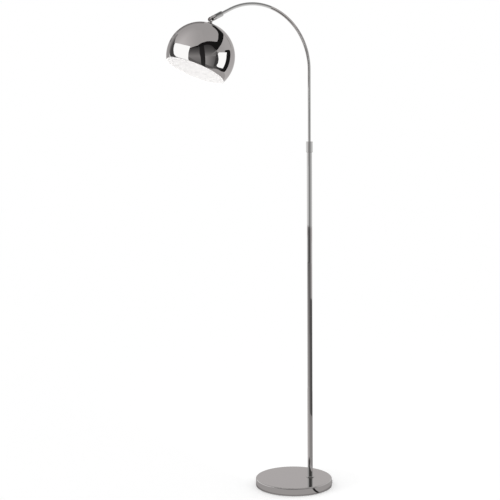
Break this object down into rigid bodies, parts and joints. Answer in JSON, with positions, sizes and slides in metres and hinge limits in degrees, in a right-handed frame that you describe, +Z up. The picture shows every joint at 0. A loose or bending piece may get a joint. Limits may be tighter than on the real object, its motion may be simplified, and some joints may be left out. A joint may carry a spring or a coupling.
{
  "type": "arc floor lamp",
  "caption": "Chrome arc floor lamp: weighted disc base, upright pole, sliding and turning stem bent over at the top, and a tilting dome shade, white inside.",
  "frame": {"origin": "middle of the base's underside, on the floor", "axes": "+Z up the pole; the arch lies in a plane parallel to XZ and reaches towards -X; the pole stands off-centre on the +X side"},
  "size_m": [0.5232, 0.2324, 1.4317],
  "materials": {
    "chrome": "polished",
    "cast_iron": "matte",
    "felt": "matte",
    "black_rubber": "matte",
    "zinc_steel": "satin",
    "black_steel": "satin",
    "nylon": "satin",
    "fibre": "matte",
    "lead_sleeve": "satin",
    "brass": "satin",
    "holder_white": "satin",
    "steatite": "matte",
    "bulb_metal": "satin",
    "bulb_white": "satin",
    "opal": "satin"
  },
  "bodies": {
    "stand": {"base_cover": "chrome", "base_weight": "cast_iron", "base_pad": "felt", "cord_inlet": "black_rubber", "foot_stud": "zinc_steel", "foot_washer": "zinc_steel", "foot_nut": "zinc_steel", "foot_insert": "zinc_steel", "foot_flange": "chrome", "pole_lower": "chrome", "pole_upper": "chrome", "pole_joiner": "zinc_steel", "stem_collar": "chrome", "collar_screw": "black_steel", "stand_lead": "lead_sleeve"},
    "guide": {"guide_bush": "nylon"},
    "arch": {"arch_tube": "chrome", "stem_slider": "nylon", "arch_lead": "lead_sleeve", "knuckle_fork": "chrome", "knuckle_screw": "chrome", "knuckle_nut": "chrome", "friction_disc_front": "fibre", "friction_disc_rear": "fibre"},
    "head": {"knuckle_tongue": "chrome", "shade_cap": "chrome", "shade": "chrome", "lock_washer": "zinc_steel", "lock_nut": "brass", "holder_cap": "holder_white", "holder_body": "holder_white", "holder_core": "steatite", "terminal_left": "brass", "terminal_right": "brass", "centre_contact": "brass", "holder_shell": "brass", "head_lead": "lead_sleeve", "bulb_contact": "brass", "bulb_cap": "bulb_metal", "bulb_housing": "bulb_white", "bulb_globe": "opal"}
  },
  "joints": [
    {"name": "stem_swivel", "type": "hinge", "parent": "stand", "child": "guide", "pos_m": [0.04494, -0.02192, 1.0134], "axis": [0, 0, 1], "range_deg": [-170, 170]},
    {"name": "stem_slide", "type": "slide", "parent": "guide", "child": "arch", "axis": [0, 0, 1], "range_m": [-0.185, 0.1]},
    {"name": "shade_tilt", "type": "hinge", "parent": "arch", "child": "head", "pos_m": [-0.2777, -0.02192, 1.37932], "axis": [0, 1, 0], "range_deg": [-45, 60]}
  ]
}
